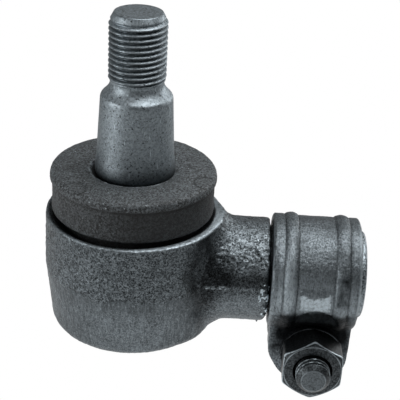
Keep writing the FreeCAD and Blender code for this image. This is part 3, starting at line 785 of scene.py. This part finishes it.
def round_ring(points):
    """Makes the collar's ring exactly round at each station along it, without the CAD mesh's facets.
    Gives back how far each point was from the tube's axis."""
    x, _, z = points.T
    from_tube = np.hypot(*points.T[1:])
    rounded = from_tube.copy()
    for station in np.arange(40.0, 66.0, 0.3):
        ring = (from_tube > COLLAR_SKIN) & (z > -2.0) & (np.abs(x - station) <= 0.15)
        if ring.any():
            full = np.percentile(from_tube[ring], 95)
            rounded[ring & (np.abs(from_tube - full) < 0.2)] = full
    points[:, 1:] *= (rounded / from_tube)[:, None]
    return from_tube


def trim_ear(points, from_bolt):
    """Takes up to 0.7 mm off the ear's lower left, where the photo's outline lies further in."""
    x, _, z = points.T
    heading = np.degrees(np.arctan2(z - BOLT_LEVEL, x - BOLT_STATION))
    trim = 0.06 * band(heading, -150, -120, 30) * smooth_step(from_bolt, 9.5, 12.0)
    points[:, 0] -= (x - BOLT_STATION) * trim
    points[:, 2] -= (z - BOLT_LEVEL) * trim


class CollarSkin:
    """Where each kind of surface on the collar lies, from 0 to 1, and the noise that breaks it up."""

    def __init__(self, points, from_tube, from_bolt):
        self.x, self.y, self.z = x, y, z = points.T.copy()
        self.from_tube, self.from_bolt = from_tube, from_bolt
        self.outer = from_tube > COLLAR_SKIN
        self.front = smooth_step(-y, 0.0, 3.0)
        self.on_ring = self.outer * smooth_step(z, -9.0, -2.0)
        self.grain, self.coarse = rough(points, 1.0, 21, 2), rough(points, 3.2, 22, 2)
        self.blotches = rough(points, 4.0, 24, 3)
        self.creases = sum(band(x, station, station, 0.36) for station in GROOVES)
        top_edge = 0.1 + 1.9 * np.abs((x - CLAMP_MIDDLE) / 4.2) ** 3 + 0.9 * self.grain
        self.facet = band(x + 0.6 * self.grain, CLAMP_MIDDLE - 4.0, CLAMP_MIDDLE + 4.0, 0.3)
        self.facet = self.facet * band(z, -3.6, top_edge, 0.4) * (y < -13.5)
        chipped = np.clip(rough(points, 1.6, 23, 1) - 0.30, 0, 1)
        self.dents = chipped * band(x, 41, 46, 1) * band(z, -8, -1, 1.5) * self.front

    def lift(self):
        """How far the skin stands out from the CAD shape."""
        beads = sum(band(self.x, start, end, 1.2) for start, end in BEADS)
        lift = self.outer * (0.05 * self.coarse + 0.05 * self.grain)
        lift -= 0.20 * self.creases * self.on_ring
        lift += 0.08 * beads * self.on_ring
        lift -= 0.16 * self.facet
        lift -= 0.9 * self.dents
        return lift

    def wear_and_painted_light(self):
        """Painted highlights on the bead towards the neck and on both outer edges, a broad band of painted
        light across the front, and the bright dents.
        """
        first_bead = band(self.x, 44.6, 46.2, 1.0) + 0.8 * band(self.x, 42.4, 43.4, 0.5)
        ridge = first_bead * band(self.z, 0.0, 10.0, 6.0)
        edges = band(self.x, 65.0, 65.8, 0.3) * band(self.z, -3.0, 14.0, 3.0)
        edges += 0.6 * band(self.x, 40.3, 40.7, 0.2)
        # Painted light: a broad band across the front, less in the grooves.
        painted_front_light = 0.42 * band(self.z + 1.5 * self.coarse, -4.0, 3.0, 9.0) * band(self.x, 41.0, 64.0, 1.0)
        wear_and_painted_light = 0.75 * ridge + edges + painted_front_light * (1 - 0.6 * self.creases)
        return np.clip(wear_and_painted_light * self.outer * self.front * (self.z > -9) + 5.0 * self.dents, 0, 1)

    def dirt_and_painted_shade(self):
        """A dark smear of scale, a darker line above the facet, and painted shade: in the hollow over the
        nut, behind the nut, in the grooves, in the bore, and in blotches low on the collar.
        """
        smear = band(self.x, 59.3, 61.8, 0.8) * band(self.z, -1.0, 6.0, 1.5)
        smear = smear * self.front * (0.5 + 0.9 * self.coarse)
        above_facet = 0.35 * band(self.x, 49.2, 57.0, 1.5) * band(self.z, 1.4, 2.8, 1.0)
        above_facet = above_facet * self.front * (1 - self.facet)
        hollow = band(self.x, 44.5, 62.5, 3.5) * (self.y < -8.5)
        hollow = hollow * band(self.z + 0.8 * self.coarse, -16.5, -6.6, 2.4)
        behind_nut = (1 - smooth_step(self.from_bolt, 9.8, 13.0)) * self.front
        behind_nut = behind_nut * smooth_step(self.z, BOLT_LEVEL - 4.0, BOLT_LEVEL + 5.0)
        bore = (self.from_tube < 13.0) & (self.z > -13)
        # Painted shade, in blotches, low on the collar's outside.
        painted_shade_below = 0.5 * np.clip(self.blotches * 1.8 - 0.2, 0, 1) * (self.z < -6) * self.outer
        dirt_and_painted_shade = smear + above_facet + 0.97 * hollow + 0.9 * behind_nut + 0.9 * bore
        dirt_and_painted_shade += 0.5 * self.creases * self.on_ring + painted_shade_below
        return np.clip(dirt_and_painted_shade, 0, 1) * (1 - self.facet)


def collar_piece(material):
    """The clamp collar: softened as a forging is, creased beside its beads, with a bare facet, dents,
    painted highlights and painted shade.
    """
    made = recast("clamp_collar_forging", "clamp_collar", COLLAR_VOXEL)
    points, normals = per_point(made, "co"), per_point(made, "normal")
    from_tube = round_ring(points)
    from_bolt = np.hypot(points[:, 0] - BOLT_STATION, points[:, 2] - BOLT_LEVEL)
    trim_ear(points, from_bolt)
    skin = CollarSkin(points, from_tube, from_bolt)
    paint(made, "bright", skin.facet)
    paint(made, "wear_and_painted_light", skin.wear_and_painted_light())
    paint(made, "dirt_and_painted_shade", skin.dirt_and_painted_shade())
    settle(made, points + normals * skin.lift()[:, None])
    made.data.materials.append(material)
    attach(made, "clamp")
    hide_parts("clamp_collar")


def hex_radius(angle):
    """Distance from the axis to the hexagon's side, with its corners a little rounded."""
    turn = (angle + math.pi / 2) % (math.pi / 3) - math.pi / 6
    sharp = NUT_FLATS / 2 / np.cos(turn)
    corner = NUT_FLATS / math.sqrt(3) - 0.3
    return np.where(sharp > corner, corner + (sharp - corner) * 0.35, sharp)


class Lathe:
    """A fastener made about Z: rows of points, each with how rubbed it is and how much painted shade it has.
    """

    def __init__(self):
        self.turns = 240
        self.angles = np.arange(self.turns) * 2 * math.pi / self.turns
        self.rows, self.rubbed, self.painted_shade = [], [], []

    def row(self, radius, level, rubbed=0.0, painted_shade=0.0):
        radius, level = np.broadcast_to(radius, self.turns), np.broadcast_to(level, self.turns)
        self.rows.append(np.stack([radius * np.cos(self.angles), radius * np.sin(self.angles), level], -1))
        self.rubbed.append(np.broadcast_to(rubbed, self.turns))
        self.painted_shade.append(np.broadcast_to(painted_shade, self.turns))

    def hexagon(self, face, foot, inner, crowned_foot):
        """A nut or a bolt head, from the inside of one face round to the other. The crown's circle and the
        scalloped edge below it are rubbed, and the sides are darkened with painted shade. crowned_foot is 1
        or 0."""
        way = 1.0 if face > foot else -1.0
        slope = math.tan(math.radians(30))
        reach = np.maximum(hex_radius(self.angles), CROWN_RADIUS + 0.02)
        drop = (reach - CROWN_RADIUS) * slope
        for share in np.append(np.linspace(0, 0.94, 13), [0.97, 1.0]):
            self.row(inner + (CROWN_RADIUS - inner) * share, face, 0.45 * (share > 0.95))
        for share in (0.1, 0.3, 0.5, 0.7, 0.88, 1.0):
            radius = CROWN_RADIUS + (reach - CROWN_RADIUS) * share
            rubbed = 1.0 * (share > 0.8) + 0.3 * (share < 0.2)
            self.row(radius, face - way * (radius - CROWN_RADIUS) * slope, rubbed)
        top = face - way * drop
        low = foot + way * drop * crowned_foot
        for share in np.append([0.03], np.linspace(0.07, 0.96, 14)):
            self.row(reach, top + (low - top) * share, 0.9 * (share < 0.05), 0.6 * (share > 0.05))
        for share in np.linspace(0, 1, 5):
            radius = reach + (CROWN_RADIUS - reach) * share
            self.row(radius, foot + way * np.maximum(radius - CROWN_RADIUS, 0) * slope * crowned_foot)
        for share in np.linspace(0.1, 1, 8):
            self.row(CROWN_RADIUS + (inner - CROWN_RADIUS) * share, foot)

    def made(self, name, material, closed):
        """The piece on the bolt's axis. closed joins the last row to the first."""
        made = surface(name, np.array(self.rows), closed)
        kept = [slice(0, 1) if np.ptp(row, axis=0).max() < 1e-6 else slice(None) for row in self.rows]
        for attribute, rows in (("edge", self.rubbed), ("dirt_and_painted_shade", self.painted_shade)):
            paint(made, attribute, np.concatenate([row[part] for row, part in zip(rows, kept)]))
        dress_fastener(made, material)
        return made


def dress_fastener(made, material):
    """Gives a fastener its material, and lays it on the clamp bolt's axis, with its +Z on the nut's side."""
    made.data.materials.append(material)
    made.data.transform(
        Matrix.Translation((BOLT_STATION * MM, 0, BOLT_LEVEL * MM)) @ Matrix.Rotation(math.pi / 2, 4, "X")
    )
    made.data.update()
    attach(made, "clamp")


def nut_piece(material):
    """The clamp nut, crowned on both faces and threaded."""
    lathe = Lathe()
    lathe.hexagon(NUT_FACE, NUT_FOOT, 5.75, 1.0)
    # The threaded bore is darkened with painted shade.
    for level in np.linspace(NUT_FOOT, NUT_FACE, 66):
        mouth = max(0.0, 0.75 - min(level - NUT_FOOT, NUT_FACE - level))
        cut = thread_cut(level, lathe.angles, 0.7)
        lathe.row(np.maximum(5.68 - cut, 5.0 + mouth), level, 0.0, 0.9)
    made = lathe.made("clamp_nut_steel", material, True)
    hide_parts("clamp_nut")


def bolt_piece(material):
    """The clamp bolt: crowned head, plain neck and a threaded, chamfered end."""
    lathe = Lathe()
    foot = -SEAT_REACH
    plain_end = 4.0
    thread_end = BOLT_END - BOLT_CHAMFER
    lathe.hexagon(HEAD_FACE, foot, 0.0, 0.0)
    shank = closely(eased([
        (BOLT_RADIUS, foot), (BOLT_RADIUS, plain_end), (BOLT_RADIUS, thread_end, 0.2),
        (3.5, BOLT_END - 0.05, 0.3), (0.0, BOLT_END),
    ]), 0.12)
    for radius, level in shank:
        run = float(smooth_step(level, plain_end, plain_end + 1.5))
        run *= float(1 - smooth_step(level, thread_end - 0.5, thread_end + 0.2))
        cut = thread_cut(level, lathe.angles, THREAD_DEPTH) * run
        reach = np.maximum(radius - cut, min(radius, 4.05))
        crest = 0.45 * (reach > BOLT_RADIUS - 0.1) * (level > plain_end + 1.0)
        rim = 0.32 * float(band(radius, 3.40, 3.55, 0.12) * (level > thread_end)) + 0.12 * (radius < 3.4)
        # Painted shade inside the nut and in the thread's roots.
        in_nut = float(1 - smooth_step(level, NUT_FACE - 0.6, NUT_FACE + 0.8)) * (level > plain_end + 1.0)
        rubbed = np.maximum(crest * (1 - in_nut), rim)
        lathe.row(reach, level, rubbed, np.clip(0.9 * in_nut + 0.6 * (reach < 4.5) * run, 0, 1))
    made = lathe.made("clamp_bolt_steel", material, False)
    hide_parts("clamp_bolt")


def washer_piece(material):
    """The split spring washer, its ends a little apart and out of line."""
    thickness = NUT_FOOT - SEAT_REACH
    section = closely(eased([
        (WASHER_BORE, 0.0), (WASHER_RADIUS, 0.0, 0.2), (WASHER_RADIUS, thickness, 0.25),
        (WASHER_BORE, thickness, 0.2), (WASHER_BORE, 0.02),
    ]), 0.35)
    first = -math.pi / 2 + WASHER_HALF_GAP_ANGLE
    last = 1.5 * math.pi - WASHER_HALF_GAP_ANGLE
    angles = np.linspace(first, last, 160)
    grid = []
    for share, angle in zip(np.linspace(0, 1, len(angles)), angles):
        rise = 0.03 * thickness + 0.10 * (share - 0.5)
        grid.append([
            (radius * math.cos(angle), radius * math.sin(angle), SEAT_REACH + level * 0.94 + rise)
            for radius, level in section
        ])
    ends = [np.mean(ring, axis=0) for ring in (grid[0], grid[-1])]
    grid = [[ends[0]] * len(section)] + grid + [[ends[1]] * len(section)]
    made = surface("clamp_spring_washer_steel", np.array(grid), False)
    points = per_point(made, "co") / MM
    radius = np.hypot(points[:, 0], points[:, 1])
    # A painted highlight on the outer edge's upper arc; the washer is darkened with painted shade, most
    # where it lies under the nut.
    near_face = points[:, 2] > SEAT_REACH + 0.75 * thickness
    highlight_arc = around(points[:, 0], points[:, 1], 65, 35, 15)
    paint(made, "edge", (radius > WASHER_RADIUS - 0.15) * near_face * highlight_arc * 0.6)
    paint(made, "dirt_and_painted_shade", np.where(radius < WASHER_RADIUS - 0.3, 0.9, 0.4))
    dress_fastener(made, material)
    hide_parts("clamp_spring_washer")


def finish_node(node, material):
    """Gives a CAD node that stays in view its own material."""
    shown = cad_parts[node]
    shown.data.materials.clear()
    shown.data.materials.append(material)


# ---------------------------------------------------------------- studio


def area_light(name, place, power, width, height):
    """A soft light that faces the part."""
    light = bpy.data.lights.new(name, "AREA")
    light.shape = "RECTANGLE"
    light.size, light.size_y = width, height
    light.energy = power
    made = bpy.data.objects.new(name, light)
    bpy.context.scene.collection.objects.link(made)
    made.location = place
    made.rotation_euler = (LIT_POINT - made.location).to_track_quat("-Z", "Y").to_euler()


def studio_floor():
    """A plain pale floor, just under the lowest piece. It is white to the camera, and as a light source
    it is brightest near the part."""
    level = cad_low.z - 0.4 * MM
    half = 3.0
    corners = [(-half, -half, level), (half, -half, level), (half, half, level), (-half, half, level)]
    mesh = bpy.data.meshes.new("floor")
    mesh.from_pydata(corners, [], [(0, 1, 2, 3)])
    made = bpy.data.objects.new("floor", mesh)
    bpy.context.scene.collection.objects.link(made)
    material = bpy.data.materials.new("floor_paint")
    material.use_nodes = True
    nodes, links = material.node_tree.nodes, material.node_tree.links
    seen = nodes.new("ShaderNodeEmission")
    bounced = nodes.new("ShaderNodeEmission")
    place = nodes.new("ShaderNodeTexCoord")
    away = nodes.new("ShaderNodeVectorMath")
    away.operation = "LENGTH"
    links.new(place.outputs["Object"], away.inputs[0])
    fade = nodes.new("ShaderNodeMapRange")
    fade.interpolation_type = "SMOOTHSTEP"
    fade.inputs["From Min"].default_value = 0.05
    fade.inputs["From Max"].default_value = 0.30
    fade.inputs["To Min"].default_value = FLOOR_NEAR
    fade.inputs["To Max"].default_value = FLOOR_FAR
    links.new(away.outputs["Value"], fade.inputs["Value"])
    links.new(fade.outputs["Result"], bounced.inputs["Strength"])
    ray = nodes.new("ShaderNodeLightPath")
    mix = nodes.new("ShaderNodeMixShader")
    links.new(ray.outputs["Is Camera Ray"], mix.inputs[0])
    links.new(bounced.outputs[0], mix.inputs[1])
    links.new(seen.outputs[0], mix.inputs[2])
    links.new(mix.outputs[0], nodes["Material Output"].inputs["Surface"])
    mesh.materials.append(material)


def studio_world():
    """White all round to the camera, and as a light source darker in front than behind."""
    world = bpy.data.worlds.new("studio")
    bpy.context.scene.world = world
    world.use_nodes = True
    nodes, links = world.node_tree.nodes, world.node_tree.links
    seen = nodes["Background"]
    seen.inputs["Color"].default_value = (1, 1, 1, 1)
    seen.inputs["Strength"].default_value = 1.0
    given = nodes.new("ShaderNodeBackground")
    given.inputs["Strength"].default_value = 1.0
    place = nodes.new("ShaderNodeTexCoord")
    split = nodes.new("ShaderNodeSeparateXYZ")
    links.new(place.outputs["Generated"], split.inputs[0])
    ramp = nodes.new("ShaderNodeMapRange")
    ramp.interpolation_type = "SMOOTHSTEP"
    ramp.inputs["From Min"].default_value = -0.9
    ramp.inputs["From Max"].default_value = 0.5
    ramp.inputs["To Min"].default_value = FRONT_GLOW
    ramp.inputs["To Max"].default_value = BACK_GLOW
    links.new(split.outputs["Y"], ramp.inputs["Value"])
    links.new(ramp.outputs["Result"], given.inputs["Color"])
    ray = nodes.new("ShaderNodeLightPath")
    mix = nodes.new("ShaderNodeMixShader")
    links.new(ray.outputs["Is Camera Ray"], mix.inputs[0])
    links.new(given.outputs[0], mix.inputs[1])
    links.new(seen.outputs[0], mix.inputs[2])
    links.new(mix.outputs[0], nodes["World Output"].inputs["Surface"])


def studio_camera():
    """The camera, 27 degrees above the part and rolled 3 degrees."""
    camera = bpy.data.cameras.new("camera")
    camera.lens = CAMERA_LENS
    made = bpy.data.objects.new("camera", camera)
    bpy.context.scene.collection.objects.link(made)
    yaw, pitch, roll = [math.radians(angle) for angle in CAMERA_TURN]
    forward = Vector((math.sin(yaw) * math.cos(pitch), math.cos(yaw) * math.cos(pitch), -math.sin(pitch)))
    right = Vector((math.cos(yaw), -math.sin(yaw), 0))
    up = right.cross(forward)
    across = math.cos(roll) * right + math.sin(roll) * up
    upright = -math.sin(roll) * right + math.cos(roll) * up
    turn = Matrix((across, upright, -forward)).transposed().to_4x4()
    made.matrix_world = Matrix.Translation(Vector(CAMERA_PLACE) * MM) @ turn
    bpy.context.scene.camera = made


def studio_lights():
    """A broad light above, one from the left and front, and a weak one from the right and behind."""
    area_light("overhead", (0.14, 0.00, 0.50), OVERHEAD_POWER, 0.42, 0.42)
    area_light("left", (-0.50, -0.24, 0.12), LEFT_POWER, 0.30, 0.45)
    area_light("right_back", (0.45, 0.42, 0.16), RIGHT_BACK_POWER, 0.25, 0.4)


bpy.context.scene.view_settings.view_transform = "Standard"
studio_world()
studio_floor()
studio_camera()
studio_lights()

forging = forged_steel()
fasteners = blackened_steel()
bearing = bearing_steel()
spring = spring_steel()
housing_piece(forging)
stud_piece(turned_steel())
boot_piece(moulded_rubber())
collar_piece(clamp_steel())
nut_piece(fasteners)
bolt_piece(fasteners)
washer_piece(fasteners)
finish_node("upper_ball_cup", bearing)
finish_node("lower_ball_cup", bearing)
finish_node("preload_spring", spring)
finish_node("boot_lip_ring", spring)
finish_node("boot_base_ring", spring)
finish_node("closing_plate", pressed_plate())
finish_node("closing_plate_seal", seal_rubber())
